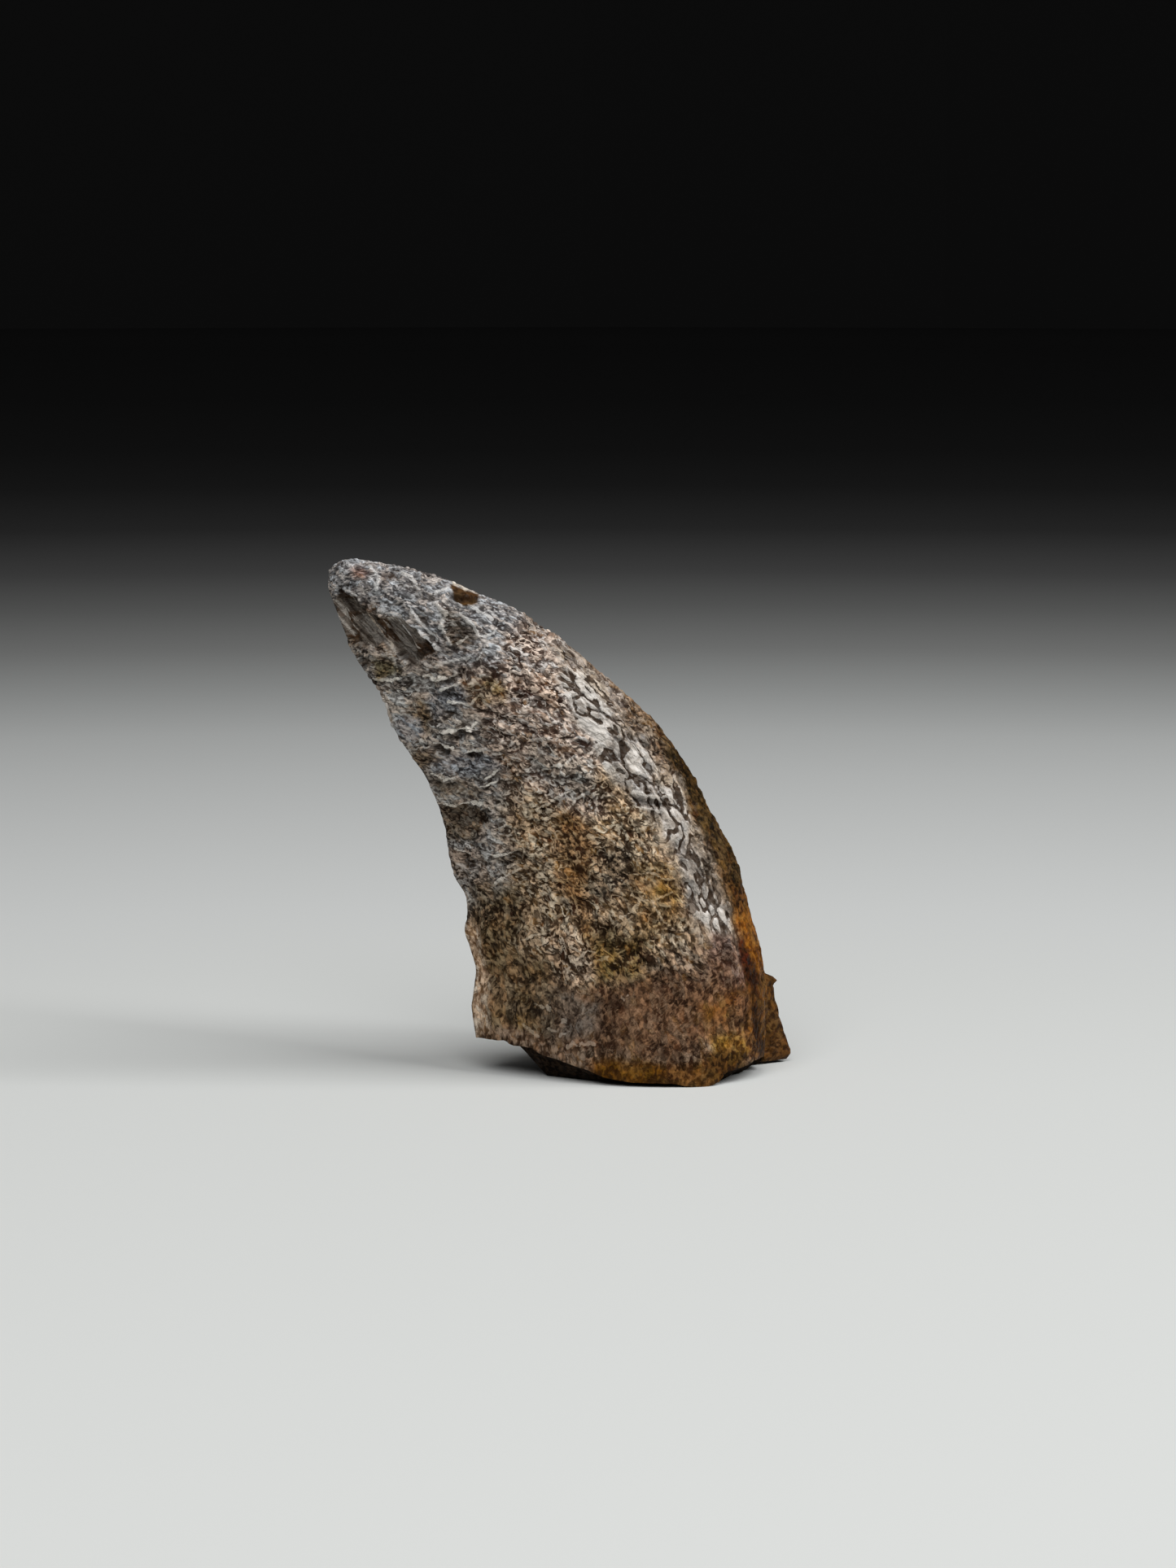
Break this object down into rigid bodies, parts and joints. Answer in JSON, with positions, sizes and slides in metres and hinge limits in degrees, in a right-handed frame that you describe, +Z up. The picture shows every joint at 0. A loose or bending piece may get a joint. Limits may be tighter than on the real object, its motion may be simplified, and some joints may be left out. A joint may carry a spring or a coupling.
{
  "type": "fossil dinosaur tooth",
  "caption": "Curved, flattened fossil tooth of a meat-eating dinosaur, with denticles on worn edges, flake scars near the tip and a broken base it stands on.",
  "frame": {"origin": "under the middle of the tooth's bounding box, on the surface it stands on", "axes": "+X from the concave distal edge to the convex mesial edge, +Y from the outer face to the inner face, +Z up along the tooth from its broken base to its tip"},
  "size_m": [0.0236, 0.0086, 0.0264],
  "materials": {
    "fossil": "satin"
  },
  "bodies": {
    "root": {"tooth": "fossil"}
  },
  "joints": []
}
